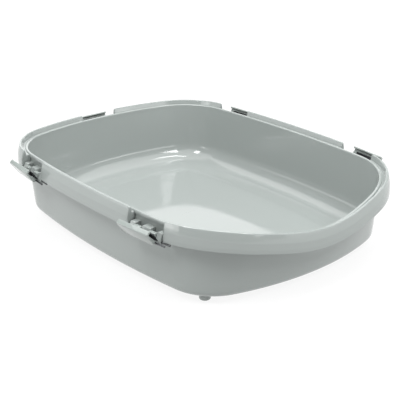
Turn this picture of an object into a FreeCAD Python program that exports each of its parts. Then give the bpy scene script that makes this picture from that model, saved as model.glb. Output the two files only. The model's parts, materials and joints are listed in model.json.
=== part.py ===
"""Cat litter tray: a moulded tub with five hinged clips that lock a hood on.

Frame: millimetres, +Z up, +Y towards the back (the end with one clip), the
low entrance end at -Y.  The origin is on the floor, under the middle of the
whole assembly with its clips swung open.
"""
import FreeCAD
import Part
import math
import os

Vector = FreeCAD.Vector
UP = Vector(0, 0, 1)

# ---- tub: plan of the mouth (inner edge of the rim) ----
MOUTH_HALF_WIDTH = 197.5
MOUTH_HALF_LENGTH = 264.0
MOUTH_SIDE_BULGE = 19.0
MOUTH_END_BULGE = 41.0
MOUTH_BACK_RADIUS = 88.0
MOUTH_FRONT_RADIUS = 111.0

# ---- tub: plan of the base, set in from the mouth ----
BASE_SIDE_INSET = 6.5
BASE_END_INSET = 13.0
BASE_SIDE_BULGE = 23.0
BASE_END_BULGE = 44.0
BASE_BACK_RADIUS = 65.0
BASE_FRONT_RADIUS = 73.0

# ---- tub: heights and walls ----
FOOT_HEIGHT = 10.0
RIM_HEIGHT = 103.0          # lip above the underside of the base
ENTRANCE_DIP = 28.0         # how much lower the lip is at the middle of the front
WALL = 3.0
FLOOR = 3.0
OUTER_EDGE_RADIUS = 11.0
FLOOR_CORNER_RADIUS = 30.0
FLOOR_STEP = 1.6            # the middle of the floor stands this much above its moat
FLOOR_STEP_INSET = 22.0

# ---- rim: lip, hood groove, crest and hanging skirt, as (outward, above the lip) ----
LIP_WIDTH = 4.8
GROOVE_DEPTH = 2.2
GROOVE_WIDTH = 4.4
CREST_WIDTH = 6.3
CREST_HEIGHT = 6.0
RIM_PLATE = 3.0
SKIRT_DROP = 22.0
SKIRT_FLARE = 1.8
SKIRT_WALL = 2.4

# ---- notches in the skirt, one per clip ----
NOTCH_LENGTH = 64.0
FRONT_NOTCH_Y = -140.5
BACK_NOTCH_Y = 145.0
NOTCH_END_WALL = 2.5
NOTCH_BITE = 0.2            # a notch also trims this much off the outside of the lip

# ---- feet: pegs moulded under the base ----
FOOT_DIAMETER = 16.0
FOOT_EDGE_RADIUS = 2.5
FOOT_INSET = 17.0           # peg axis in from the edge of the base, at a corner

# ---- clips, as (outward from the lip, above the lip) ----
PIN_DIAMETER = 3.0
PIN_CLEARANCE = 0.08        # radial, in every bore
PIN_END_CHAMFER = 0.4
HINGE_OUT = 14.2
HINGE_DOWN = 24.6
BARREL_WALL = 1.9           # plastic round the hinge pin
PLATE_BARREL_WALL = 1.0     # steel rolled round the hook pin
BARREL_CLEARANCE = 0.6      # between the two barrels
KNUCKLE_TOP = 13.0
KNUCKLE_SETBACK = 1.2       # knuckle fronts inboard of the hinge pin axis
MIDDLE_KNUCKLE = 15.5
END_KNUCKLE = 9.5
KNUCKLE_GAP = 0.5           # sideways play between knuckles
KNUCKLE_MARGIN = 1.0        # end knuckles in from the notch's ends
LEVER_GAP = 2.5             # lever's ends in from the notch's ends
LEVER_WALL = 2.4
LEVER_HEIGHT = 22.0
LEVER_FLANGE = 6.8
LEVER_TILT = 34.5           # panel leans outward from upright when open, degrees
LEVER_FLANGE_TURN = 82.0    # flange turns inward from the panel, degrees
LEVER_CORNER_RADIUS = 9.0
LEVER_STANDOFF = 3.9        # panel's inner face outboard of the hook pin axis
CHEEK_WALL = 2.0
CHEEK_WIDTH = 3.6
PLATE_THICKNESS = 1.6
PLATE_STANDOFF = 1.8        # plate inboard of the hook pin axis
PLATE_INSET = 12.0          # plate's short end in from the lever's end
PLATE_OVERHANG = 1.5        # plate's long end out past the lever's other end
PLATE_HEIGHT = 12.5
PLATE_BEAD_RADIUS = 1.3
PLATE_LIFT = 4.6            # plate's lower edge above the hook pin axis, along the plate
HINGE_PIN_INSET = 1.5       # hinge pin's blind end in from the notch's end
HOOK_PIN_INSET = 5.0        # hook pin's blind end in from the lever's end
HINGE_PIN_OVERHANG = 14.0   # free ends of the pins past the notch's end
HOOK_PIN_OVERHANG = 11.0


class Outline:
    """Closed plan curve of eight tangent arcs, bulging on all four sides."""

    def __init__(self, half_width, half_length, side_bulge, end_bulge, back_radius, front_radius):
        self.sizes = (half_width, half_length, side_bulge, end_bulge, back_radius, front_radius)
        self.side_radius = (half_length ** 2 + side_bulge ** 2) / (2 * side_bulge)
        self.end_radius = (half_width ** 2 + end_bulge ** 2) / (2 * end_bulge)
        self.side_centre = half_width - self.side_radius
        self.end_centre = half_length - self.end_radius
        back = self.corner(back_radius)
        front = self.corner(front_radius)
        self.back_corner = back
        self.front_corner = front
        turn = math.pi
        self.arcs = [
            (self.side_centre, 0, self.side_radius, -front[2], back[2]),
            (back[0], back[1], back_radius, back[2], back[3]),
            (0, self.end_centre, self.end_radius, back[3], turn - back[3]),
            (-back[0], back[1], back_radius, turn - back[3], turn - back[2]),
            (-self.side_centre, 0, self.side_radius, turn - back[2], turn + front[2]),
            (-front[0], -front[1], front_radius, turn + front[2], turn + front[3]),
            (0, -self.end_centre, self.end_radius, turn + front[3], 2 * turn - front[3]),
            (front[0], -front[1], front_radius, 2 * turn - front[3], 2 * turn - front[2]),
        ]

    def corner(self, radius):
        """Centre of the corner arc, and the angles where it meets the side and the end."""
        to_side = self.side_radius - radius
        to_end = self.end_radius - radius
        apart = math.hypot(self.side_centre, self.end_centre)
        along = (to_side ** 2 - to_end ** 2 + apart ** 2) / (2 * apart)
        across = math.sqrt(to_side ** 2 - along ** 2)
        dx = -self.side_centre / apart
        dy = self.end_centre / apart
        x = self.side_centre + along * dx - across * dy
        y = along * dy + across * dx
        return x, y, math.atan2(y, x - self.side_centre), math.atan2(y - self.end_centre, x)

    def point(self, arc, share, offset=0.0):
        """Point at a share of one arc's length, moved outward by offset."""
        x, y, radius, start, end = self.arcs[arc]
        angle = start + (end - start) * share
        reach = radius + offset
        return Vector(x + reach * math.cos(angle), y + reach * math.sin(angle), 0)

    def blended(self, other, share):
        """Outline part of the way from this one to another."""
        return Outline(*[a + (b - a) * share for a, b in zip(self.sizes, other.sizes)])

    def side_station(self, y):
        """Point on the +X side at this y, and the outward normal there."""
        if y > self.side_radius * math.sin(self.arcs[0][4]):
            cx, cy, radius = self.arcs[1][:3]
        elif y < self.side_radius * math.sin(self.arcs[0][3]):
            cx, cy, radius = self.arcs[7][:3]
        else:
            cx, cy, radius = self.arcs[0][:3]
        angle = math.asin((y - cy) / radius)
        normal = Vector(math.cos(angle), math.sin(angle), 0)
        return Vector(cx, cy, 0) + normal * radius, normal

    def back_station(self, x):
        """Point on the back end at this x, and the outward normal there."""
        angle = math.acos(x / self.end_radius)
        normal = Vector(math.cos(angle), math.sin(angle), 0)
        return Vector(0, self.end_centre, 0) + normal * self.end_radius, normal


MOUTH = Outline(MOUTH_HALF_WIDTH, MOUTH_HALF_LENGTH, MOUTH_SIDE_BULGE, MOUTH_END_BULGE,
                MOUTH_BACK_RADIUS, MOUTH_FRONT_RADIUS)
BASE = Outline(MOUTH_HALF_WIDTH - BASE_SIDE_INSET, MOUTH_HALF_LENGTH - BASE_END_INSET,
               BASE_SIDE_BULGE, BASE_END_BULGE, BASE_BACK_RADIUS, BASE_FRONT_RADIUS)
LIP_LEVEL = FOOT_HEIGHT + RIM_HEIGHT
CREST_START = LIP_WIDTH + GROOVE_WIDTH
RIM_WIDTH = CREST_START + CREST_WIDTH
SKIRT_REACH = RIM_WIDTH + SKIRT_FLARE
BARREL_RADIUS = PIN_DIAMETER / 2 + BARREL_WALL
PLATE_BARREL_RADIUS = PIN_DIAMETER / 2 + PLATE_BARREL_WALL
HOOK_OUT = HINGE_OUT + BARREL_RADIUS + BARREL_CLEARANCE + PLATE_BARREL_RADIUS
HALF_NOTCH = NOTCH_LENGTH / 2
HALF_LEVER = HALF_NOTCH - LEVER_GAP


def lip_level(point):
    """Height of the lip at a point of the mouth's outline: it dips at the entrance."""
    if point.y >= 0:
        return LIP_LEVEL
    across = min(abs(point.x) / MOUTH_HALF_WIDTH, 1.0)
    return LIP_LEVEL - ENTRANCE_DIP * math.cos(across * math.pi / 2) ** 2


def flat_ring(outline, offset, z):
    """Eight arcs at one height."""
    edges = []
    for arc in range(8):
        ends = [outline.point(arc, share, offset) + UP * z for share in (0, 0.5, 1)]
        edges.append(Part.Arc(*ends).toShape())
    return edges


def rim_ring(offset, above_lip, samples=13):
    """Eight curves that follow the lip, outward of it by offset and above it by above_lip."""
    edges = []
    for arc in range(8):
        points = []
        for i in range(samples):
            share = i / (samples - 1)
            level = lip_level(MOUTH.point(arc, share)) + above_lip
            points.append(MOUTH.point(arc, share, offset) + UP * level)
        curve = Part.BSplineCurve()
        curve.interpolate(points)
        edges.append(curve.toShape())
    return edges


def skin(rings):
    """Closed solid through rings of eight edges; the first and last ring are flat."""
    faces = [Part.Face(Part.Wire(rings[0])), Part.Face(Part.Wire(rings[-1]))]
    for lower, upper in zip(rings, rings[1:]):
        faces += [Part.makeRuledSurface(a, b) for a, b in zip(lower, upper)]
    shell = Part.Compound(faces)
    shell.sewShape()
    solid = Part.Solid(shell.Shells[0])
    if solid.Volume < 0:
        solid.reverse()
    return solid


def quarter(radius, steps):
    """Inset and rise of points round a quarter circle that starts flat and ends upright."""
    angles = [math.pi / 2 * i / steps for i in range(steps + 1)]
    return [(radius * (1 - math.sin(a)), radius * (1 - math.cos(a))) for a in angles]


def tub():
    """Base, walls and folded rim as one closed skin, from under the base up and over the rim."""
    def wall(height):
        return BASE.blended(MOUTH, height / RIM_HEIGHT)

    rings = []
    for inset, rise in quarter(OUTER_EDGE_RADIUS, 5):
        rings.append(flat_ring(wall(rise), WALL - inset, FOOT_HEIGHT + rise))
    groove = (LIP_WIDTH + 0.9, CREST_START - 0.6)
    profile = [
        (WALL, -RIM_PLATE - GROOVE_DEPTH),
        (RIM_WIDTH - SKIRT_WALL - 1.2, -RIM_PLATE - GROOVE_DEPTH),
        (SKIRT_REACH - SKIRT_WALL, -SKIRT_DROP),
        (SKIRT_REACH, -SKIRT_DROP),
        (SKIRT_REACH - 0.2, -SKIRT_DROP * 0.72),
        (RIM_WIDTH + 0.8, -SKIRT_DROP * 0.36),
        (RIM_WIDTH, 0.2),
        (RIM_WIDTH - 0.5, CREST_HEIGHT * 0.6),
        (RIM_WIDTH - 1.4, CREST_HEIGHT * 0.92),
        (RIM_WIDTH - 2.4, CREST_HEIGHT),
        (RIM_WIDTH - 3.4, CREST_HEIGHT * 0.9),
        (RIM_WIDTH - 4.2, CREST_HEIGHT * 0.5),
        (CREST_START, -GROOVE_DEPTH * 0.5),
        (groove[1], -GROOVE_DEPTH),
        (groove[0], -GROOVE_DEPTH),
        (LIP_WIDTH, -GROOVE_DEPTH * 0.6),
        (LIP_WIDTH * 0.8, -0.35),
        (LIP_WIDTH * 0.5, 0),
        (LIP_WIDTH * 0.2, -0.35),
        (0.2, -1.2),
        (0, -2.6),
    ]
    rings += [rim_ring(offset, above) for offset, above in profile]
    for inset, rise in reversed(quarter(FLOOR_CORNER_RADIUS, 7)):
        height = FLOOR + rise
        rings.append(flat_ring(wall(height), -inset, FOOT_HEIGHT + height))
    step = -FLOOR_CORNER_RADIUS - FLOOR_STEP_INSET
    rings.append(flat_ring(wall(FLOOR), step, FOOT_HEIGHT + FLOOR))
    rings.append(flat_ring(wall(FLOOR), step - 6.0, FOOT_HEIGHT + FLOOR + FLOOR_STEP))
    return skin(rings)


class ClipSeat:
    """One notch in the skirt, and its clip's axes: clockwise along the notch, outward and up.

    Clips on the right have their pins' long ends clockwise of them; the others are mirror images.
    """

    def __init__(self, name, ends, mirrored):
        self.name = name
        self.mirrored = mirrored
        self.ends = ends
        (first, first_normal), (last, last_normal) = ends
        self.along = (last - first).normalize()
        self.out = UP.cross(self.along)
        self.middle = (first + last) * 0.5 + UP * LIP_LEVEL

    def place(self, shape):
        """Move a shape from the clip's own axes to its seat."""
        if self.mirrored:
            shape = shape.mirror(Vector(0, 0, 0), Vector(1, 0, 0))
        matrix = FreeCAD.Matrix()
        matrix.A11, matrix.A21 = self.along.x, self.along.y
        matrix.A12, matrix.A22 = self.out.x, self.out.y
        matrix.A14, matrix.A24, matrix.A34 = self.middle.x, self.middle.y, self.middle.z
        return shape.transformed(matrix)


def clip_seats():
    """The five seats: two on each long side and one at the back, counted from the back left."""
    half = HALF_NOTCH

    def left(y):
        point, normal = MOUTH.side_station(y)
        return Vector(-point.x, point.y, 0), Vector(-normal.x, normal.y, 0)

    def right(y):
        return MOUTH.side_station(y)

    return [
        ClipSeat("clip_left_back", (left(BACK_NOTCH_Y - half), left(BACK_NOTCH_Y + half)), True),
        ClipSeat("clip_left_front", (left(FRONT_NOTCH_Y - half), left(FRONT_NOTCH_Y + half)), True),
        ClipSeat("clip_right_front", (right(FRONT_NOTCH_Y + half), right(FRONT_NOTCH_Y - half)), False),
        ClipSeat("clip_right_back", (right(BACK_NOTCH_Y + half), right(BACK_NOTCH_Y - half)), False),
        ClipSeat("clip_back", (MOUTH.back_station(-half), MOUTH.back_station(half)), True),
    ]


def prism(points, direction):
    """Extrude a closed polygon."""
    return Part.Face(Part.makePolygon(points + points[:1])).extrude(direction)


def section(points, start, end):
    """Extrude an (outward, up) polygon along a clip, between two places on it."""
    return prism([Vector(start, out, up) for out, up in points], Vector(end - start, 0, 0))


def rod(radius, out, up, start, end):
    """Round bar along a clip."""
    return Part.makeCylinder(radius, end - start, Vector(start, out, up), Vector(1, 0, 0))


def notch_cut(seat, keep):
    """What a notch takes away: everything outboard of the lip between two square ends."""
    (first, first_normal), (last, last_normal) = seat.ends
    reach = 2 * SKIRT_REACH
    corners = [first - first_normal, first + first_normal * reach,
               last + last_normal * reach, last - last_normal]
    bottom = LIP_LEVEL - SKIRT_DROP - 20
    block = prism([c + UP * bottom for c in corners], UP * (SKIRT_DROP + 40))
    return block.cut(keep)


def notch_end_walls(seat):
    """Thin walls that close the hollow skirt at both ends of a notch."""
    walls = []
    top = -RIM_PLATE - GROOVE_DEPTH + 1.2
    section_points = [(WALL - 2, top), (RIM_WIDTH - 2.0, top),
                      (SKIRT_REACH - 1.0, -SKIRT_DROP), (WALL - 3, -SKIRT_DROP)]
    for (point, normal), away in zip(seat.ends, (-1, 1)):
        tangent = normal.cross(UP)
        level = lip_level(point)
        corners = [point + normal * out + UP * (level + up) for out, up in section_points]
        walls.append(prism(corners, tangent * (away * NOTCH_END_WALL)))
    return walls


def knuckle_spans():
    """Start and end along the clip of the tray's three knuckles."""
    edge = HALF_NOTCH - KNUCKLE_MARGIN
    half = MIDDLE_KNUCKLE / 2
    return [(-edge, -edge + END_KNUCKLE), (-half, half), (edge - END_KNUCKLE, edge)]


def lever_spans():
    """Start and end along the clip of the lever's two hinge blocks, between the tray's knuckles."""
    first, middle, last = knuckle_spans()
    return [(first[1] + KNUCKLE_GAP, middle[0] - KNUCKLE_GAP),
            (middle[1] + KNUCKLE_GAP, last[0] - KNUCKLE_GAP)]


def tray_knuckles(inset):
    """Three blocks on the wall that hold the hinge pin; inset is the wall's draft over its height."""
    lean = inset / RIM_HEIGHT
    low = HINGE_DOWN + BARREL_RADIUS * 0.7
    side = [(WALL - 1.0 - lean * KNUCKLE_TOP, -KNUCKLE_TOP), (HINGE_OUT - KNUCKLE_SETBACK, -KNUCKLE_TOP),
            (HINGE_OUT + BARREL_RADIUS * 0.8, -HINGE_DOWN + BARREL_RADIUS * 0.6), (HINGE_OUT, -HINGE_DOWN),
            (HINGE_OUT, -HINGE_DOWN - BARREL_RADIUS), (WALL - 1.0 - lean * (low + 4), -low - 4)]
    blocks = []
    for start, end in knuckle_spans():
        block = section(side, start, end)
        block = block.fuse(rod(BARREL_RADIUS, HINGE_OUT, -HINGE_DOWN, start, end))
        blocks.append(block.removeSplitter())
    return blocks


def pin_bore(out, start, end):
    """Bore for a pin, a running fit."""
    return rod(PIN_DIAMETER / 2 + PIN_CLEARANCE, out, -HINGE_DOWN, start, end)


def foot_places():
    """Peg axes, near the base's four corners."""
    places = []
    for (x, y, low, high), radius, way in ((BASE.back_corner, BASE_BACK_RADIUS, 1),
                                           (BASE.front_corner, BASE_FRONT_RADIUS, -1)):
        middle = (low + high) / 2
        reach = radius - FOOT_INSET
        for side in (-1, 1):
            places.append(Vector(side * (x + reach * math.cos(middle)),
                                 way * (y + reach * math.sin(middle)), 0))
    return places


def foot(place):
    """Peg with a rounded lower edge, sunk into the base."""
    peg = Part.makeCylinder(FOOT_DIAMETER / 2, FOOT_HEIGHT + FLOOR / 2, place)
    rim = [e for e in peg.Edges if e.BoundBox.ZMax < 0.001]
    return peg.makeFillet(FOOT_EDGE_RADIUS, rim)


def tray(seats):
    """The moulded tub with its notches, knuckles and feet."""
    keep_wire = Part.Wire(flat_ring(MOUTH, LIP_WIDTH - NOTCH_BITE, 0))
    keep = Part.Face(keep_wire).extrude(UP * (LIP_LEVEL * 2))
    body = tub()
    body = body.cut([notch_cut(seat, keep) for seat in seats])
    added = [foot(place) for place in foot_places()]
    bores = []
    for seat in seats:
        inset = BASE_END_INSET if seat.name == "clip_back" else BASE_SIDE_INSET
        added += notch_end_walls(seat)
        added += [seat.place(block) for block in tray_knuckles(inset)]
        bores.append(seat.place(pin_bore(HINGE_OUT, -HALF_NOTCH, HALF_NOTCH)))
    return body.fuse(added).cut(bores)


def lever_frame():
    """Inner foot of the lever's panel, and unit directions up the panel and square to it, outward."""
    tilt = math.radians(LEVER_TILT)
    up_panel = (math.sin(tilt), math.cos(tilt))
    outward = (math.cos(tilt), -math.sin(tilt))
    foot_point = (HOOK_OUT + LEVER_STANDOFF, -HINGE_DOWN)
    return foot_point, up_panel, outward


def panel_point(rise, out):
    """(outward, up) of a point given up the lever's panel and outward of its inner face."""
    foot_point, up_panel, outward = lever_frame()
    return (foot_point[0] + up_panel[0] * rise + outward[0] * out,
            foot_point[1] + up_panel[1] * rise + outward[1] * out)


def lever():
    """Panel with a turned-in flange, two cheeks and two hinge blocks, as one moulding."""
    half = HALF_LEVER
    turn = math.radians(LEVER_FLANGE_TURN)
    flange_x = -math.sin(turn) * LEVER_FLANGE
    flange_y = math.cos(turn) * LEVER_FLANGE
    drop_x = -math.cos(turn) * LEVER_WALL
    drop_y = -math.sin(turn) * LEVER_WALL
    top = (LEVER_HEIGHT, LEVER_WALL)
    profile = [panel_point(0, 0), panel_point(0, LEVER_WALL), panel_point(*top),
               panel_point(top[0] + flange_y, top[1] + flange_x),
               panel_point(top[0] + flange_y + drop_y, top[1] + flange_x + drop_x),
               panel_point(top[0] + drop_y, 0)]
    shell = section(profile, -half, half)
    foot_point, up_panel, outward = lever_frame()
    shell = shell.common(rounded_panel(half))
    pieces = [shell]
    cheek = [panel_point(1.0, 0.5), panel_point(LEVER_HEIGHT - LEVER_WALL, 0.5),
             panel_point(3.0, -CHEEK_WIDTH)]
    cheek_shape = [section(cheek, side * half - (CHEEK_WALL if side > 0 else 0),
                           side * half + (CHEEK_WALL if side < 0 else 0)) for side in (-1, 1)]
    pieces += [piece.common(rounded_panel(half)) for piece in cheek_shape]
    block = [(HINGE_OUT, -HINGE_DOWN + BARREL_RADIUS), (HOOK_OUT + 1.0, -HINGE_DOWN + BARREL_RADIUS),
             panel_point(4.2, 0.8), panel_point(0, 0.8),
             (HOOK_OUT + 1.0, -HINGE_DOWN - BARREL_RADIUS * 0.8),
             (HINGE_OUT, -HINGE_DOWN - BARREL_RADIUS)]
    for start, end in lever_spans():
        barrel = rod(BARREL_RADIUS, HINGE_OUT, -HINGE_DOWN, start, end)
        pieces.append(section(block, start, end).fuse(barrel))
    body = pieces[0].fuse(pieces[1:])
    body = body.cut([pin_bore(HINGE_OUT, -half, half), pin_bore(HOOK_OUT, -half - 1, half + 1)])
    return body.removeSplitter()


def rounded_panel(half):
    """Prism square to the panel with the lever's rounded lower corners."""
    radius = LEVER_CORNER_RADIUS
    foot_point, up_panel, outward = lever_frame()
    up_vector = Vector(0, up_panel[0], up_panel[1])
    out_vector = Vector(0, outward[0], outward[1])
    origin = Vector(0, foot_point[0], foot_point[1]) - out_vector * 20
    low, high = -0.01, LEVER_HEIGHT + LEVER_FLANGE + 5

    def at(along, rise):
        return origin + Vector(along, 0, 0) + up_vector * rise

    inner = radius * (1 - math.sqrt(0.5))
    edges = [
        Part.LineSegment(at(-half, high), at(-half, low + radius)).toShape(),
        Part.Arc(at(-half, low + radius), at(-half + inner, low + inner),
                 at(-half + radius, low)).toShape(),
        Part.LineSegment(at(-half + radius, low), at(half - radius, low)).toShape(),
        Part.Arc(at(half - radius, low), at(half - inner, low + inner),
                 at(half, low + radius)).toShape(),
        Part.LineSegment(at(half, low + radius), at(half, high)).toShape(),
        Part.LineSegment(at(half, high), at(-half, high)).toShape(),
    ]
    return Part.Face(Part.Wire(edges)).extrude(out_vector * 45)


def hook_plate():
    """Steel strip that stands on the hook pin inside the lever, with a rolled upper edge."""
    hook = (HOOK_OUT, -HINGE_DOWN)
    foot_point, up_panel, outward = lever_frame()

    def at(rise, out):
        return (hook[0] + up_panel[0] * rise + outward[0] * out,
                hook[1] + up_panel[1] * rise + outward[1] * out)

    thick = PLATE_THICKNESS / 2
    top = PLATE_LIFT + PLATE_HEIGHT
    inner, outer = -PLATE_STANDOFF - thick, -PLATE_STANDOFF + thick
    start, end = PLATE_INSET - HALF_LEVER, HALF_LEVER + PLATE_OVERHANG
    strip = section([at(PLATE_LIFT, inner), at(PLATE_LIFT, outer), at(top, outer), at(top, inner)],
                    start, end)
    neck_half = MIDDLE_KNUCKLE / 2 - KNUCKLE_GAP
    neck = section([at(0.5, inner), at(0.5, outer),
                    at(PLATE_LIFT + 1, outer), at(PLATE_LIFT + 1, inner)], -neck_half, neck_half)
    barrel = rod(PLATE_BARREL_RADIUS, hook[0], hook[1], -neck_half, neck_half)
    bead_out, bead_up = at(top, -PLATE_STANDOFF)
    bead = rod(PLATE_BEAD_RADIUS, bead_out, bead_up, start, end)
    plate = strip.fuse([neck, barrel, bead])
    return plate.cut(pin_bore(hook[0], -neck_half - 1, neck_half + 1)).removeSplitter()


def pin(out, start, end):
    """Round steel pin with slightly rounded ends."""
    bar = rod(PIN_DIAMETER / 2, out, -HINGE_DOWN, start, end)
    rims = [e for e in bar.Edges if abs(e.BoundBox.XMax - e.BoundBox.XMin) < 0.001]
    return bar.makeChamfer(PIN_END_CHAMFER, rims)


def clip_pieces():
    """The four pieces of a clip, each by the end of its name."""
    return {
        "lever": lever(),
        "hook_plate": hook_plate(),
        "hinge_pin": pin(HINGE_OUT, HINGE_PIN_INSET - HALF_NOTCH, HALF_NOTCH + HINGE_PIN_OVERHANG),
        "hook_pin": pin(HOOK_OUT, HOOK_PIN_INSET - HALF_LEVER, HALF_NOTCH + HOOK_PIN_OVERHANG),
    }


def model():
    """All nodes by name, centred over the origin."""
    seats = clip_seats()
    nodes = {"tray": tray(seats)}
    pieces = clip_pieces()
    for seat in seats:
        for ending, shape in pieces.items():
            nodes[seat.name + "_" + ending] = seat.place(shape)
    boxes = [shape.BoundBox for shape in nodes.values()]
    middle_y = (max(b.YMax for b in boxes) + min(b.YMin for b in boxes)) / 2
    for shape in nodes.values():
        shape.translate(Vector(0, -middle_y, 0))
    return nodes, seats, middle_y


if __name__ == "__main__":
    os.makedirs("parts", exist_ok=True)
    for node, shape in model()[0].items():
        shape.exportStep("parts/" + node + ".step")
        box = shape.BoundBox
        corners = (box.XMin, box.YMin, box.ZMin, box.XMax, box.YMax, box.ZMax)
        print(node, len(shape.Solids), shape.isValid(), round(shape.Volume / 1000, 2), "cm3",
              [round(corner, 1) for corner in corners])
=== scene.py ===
"""Looks of a cat litter tray with five hinged clips, dressed over its CAD frame.

The tray is one moulding: a tub with a folded, grooved rim, five notches in the
rim with hinge knuckles below them, and four peg feet.  Each notch holds a clip:
a plastic lever, a dark steel hook plate and two steel pins.  Sizes are in
millimetres in the classes, and meshes are in metres in the frame's own axes.
"""
from __future__ import annotations

import json
import logging
import math
from dataclasses import dataclass, field
from enum import Enum
from typing import Iterable, Sequence

import bmesh
import bpy
from mathutils import Matrix, Vector


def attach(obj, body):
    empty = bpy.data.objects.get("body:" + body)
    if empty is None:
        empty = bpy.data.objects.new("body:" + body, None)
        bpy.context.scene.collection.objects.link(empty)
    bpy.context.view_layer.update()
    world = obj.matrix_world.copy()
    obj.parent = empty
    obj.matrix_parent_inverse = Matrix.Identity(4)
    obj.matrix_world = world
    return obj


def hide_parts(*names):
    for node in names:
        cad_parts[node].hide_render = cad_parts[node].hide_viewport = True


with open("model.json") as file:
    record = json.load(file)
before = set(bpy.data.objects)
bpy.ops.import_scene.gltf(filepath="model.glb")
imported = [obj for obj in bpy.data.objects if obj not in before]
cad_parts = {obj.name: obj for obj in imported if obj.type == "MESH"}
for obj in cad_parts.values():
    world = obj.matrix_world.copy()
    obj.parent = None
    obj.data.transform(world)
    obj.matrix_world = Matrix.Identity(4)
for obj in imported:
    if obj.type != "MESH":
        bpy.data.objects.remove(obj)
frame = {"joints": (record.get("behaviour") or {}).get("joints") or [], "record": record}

MM = 0.001
UP = Vector((0.0, 0.0, 1.0))

log = logging.getLogger("litter_tray")

Section = list[tuple[float, float]]
Ring = list[Vector]


class Hand(Enum):
    """Which way round a clip is built: its pins' free ends lie clockwise or anticlockwise."""

    CLOCKWISE = 1
    ANTICLOCKWISE = -1


class Slot(Enum):
    """Material slots of the record."""

    TRAY = "tray_plastic"
    CLIP = "clip_plastic"
    HOOK = "hook_steel"
    PIN = "pin_steel"


# ---------------------------------------------------------------- finishes


class NodeSheet:
    """A material's node tree, with short ways to add and join nodes."""

    def __init__(self, name: str) -> None:
        """Start a material with a shader and an output.

        Args:
            name: the material's name.
        """
        self.material = bpy.data.materials.new(name)
        self.material.use_nodes = True
        self.tree = self.material.node_tree
        self.shader = self.tree.nodes["Principled BSDF"]
        self.place = self.tree.nodes.new("ShaderNodeTexCoord").outputs["Object"]

    def node(self, kind: str, **values: object) -> bpy.types.Node:
        """Add a node and set its sockets or properties.

        Args:
            kind: the node's type name.
            values: socket names with spaces as underscores, or properties.

        Returns:
            The new node.
        """
        made = self.tree.nodes.new(kind)
        for key, value in values.items():
            socket = made.inputs.get(key.replace("_", " "))
            if socket is None:
                setattr(made, key, value)
            else:
                socket.default_value = value
        return made

    def join(self, source: bpy.types.NodeSocket, target: bpy.types.NodeSocket) -> None:
        """Link two sockets."""
        self.tree.links.new(source, target)

    def noise(self, scale: float, detail: float = 3.0, stretch: Vector | None = None) -> bpy.types.NodeSocket:
        """Add a noise texture on the piece's own coordinates.

        Args:
            scale: noise cells per metre.
            detail: octaves of finer noise.
            stretch: scale along each axis, if the noise isn't even.

        Returns:
            The noise's factor socket.
        """
        texture = self.node("ShaderNodeTexNoise", Scale=scale, Detail=detail)
        if stretch is None:
            self.join(self.place, texture.inputs["Vector"])
        else:
            mapping = self.node("ShaderNodeMapping", Scale=stretch)
            self.join(self.place, mapping.inputs["Vector"])
            self.join(mapping.outputs["Vector"], texture.inputs["Vector"])
        return texture.outputs["Fac"]

    def between(self, factor: bpy.types.NodeSocket, low: float, high: float) -> bpy.types.NodeSocket:
        """Map a factor onto a range of values.

        Args:
            factor: socket from 0 to 1.
            low: value at 0.3, where noise seldom falls below.
            high: value at 0.7.

        Returns:
            The mapped value's socket.
        """
        span = self.node("ShaderNodeMapRange", From_Min=0.3, From_Max=0.7, To_Min=low, To_Max=high)
        self.join(factor, span.inputs["Value"])
        return span.outputs["Result"]

    def tint(self, factor: bpy.types.NodeSocket, first: tuple, second: tuple) -> bpy.types.NodeSocket:
        """Mix two colours by a factor.

        Args:
            factor: socket from 0 to 1.
            first: colour at 0.
            second: colour at 1.

        Returns:
            The mixed colour's socket.
        """
        mix = self.node("ShaderNodeMix", data_type="RGBA")
        mix.inputs[6].default_value = (*first, 1.0)
        mix.inputs[7].default_value = (*second, 1.0)
        self.join(factor, mix.inputs["Factor"])
        return mix.outputs[2]

    def bump(self, layers: Sequence[tuple[bpy.types.NodeSocket, float]]) -> None:
        """Stack height layers and feed them to the shader's normal.

        Args:
            layers: pairs of a height socket and its depth in metres.
        """
        last = None
        for height, depth in layers:
            layer = self.node("ShaderNodeBump", Strength=1.0, Distance=depth)
            self.join(height, layer.inputs["Height"])
            if last is not None:
                self.join(last, layer.inputs["Normal"])
            last = layer.outputs["Normal"]
        self.join(last, self.shader.inputs["Normal"])


@dataclass(frozen=True)
class MouldedPlastic:
    """Glossy injection-moulded polypropylene."""

    name: str
    colour: tuple[float, float, float]
    drift: tuple[float, float, float]
    roughness: float = 0.04
    scuffed: float = 0.08
    warp: float = 0.00045

    def material(self) -> bpy.types.Material:
        """Build the node material.

        Returns:
            The material.
        """
        sheet = NodeSheet(self.name)
        flow = sheet.noise(7.0, 2.0)
        sheet.join(sheet.tint(flow, self.colour, self.drift), sheet.shader.inputs["Base Color"])
        haze = sheet.noise(45.0, 5.0)
        sheet.join(sheet.between(haze, self.roughness, self.scuffed), sheet.shader.inputs["Roughness"])
        sheet.bump([
            (sheet.noise(9.0, 1.0), self.warp),
            (sheet.noise(1500.0, 2.0), 0.0000035),
        ])
        sheet.shader.inputs["IOR"].default_value = 1.49
        return sheet.material


@dataclass(frozen=True)
class DarkSteel:
    """Dark sheet or drawn steel, brushed along one direction."""

    name: str
    colour: tuple[float, float, float]
    worn: tuple[float, float, float]
    roughness: float = 0.32
    metallic: float = 0.85

    def material(self) -> bpy.types.Material:
        """Build the node material.

        Returns:
            The material.
        """
        sheet = NodeSheet(self.name)
        grain = sheet.noise(900.0, 4.0, Vector((1.0, 0.2, 1.0)))
        wear = sheet.noise(160.0, 3.0)
        sheet.join(sheet.tint(wear, self.colour, self.worn), sheet.shader.inputs["Base Color"])
        sheet.join(sheet.between(grain, self.roughness - 0.08, self.roughness + 0.1),
                   sheet.shader.inputs["Roughness"])
        sheet.shader.inputs["Metallic"].default_value = self.metallic
        sheet.bump([(grain, 0.000012)])
        return sheet.material


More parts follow.
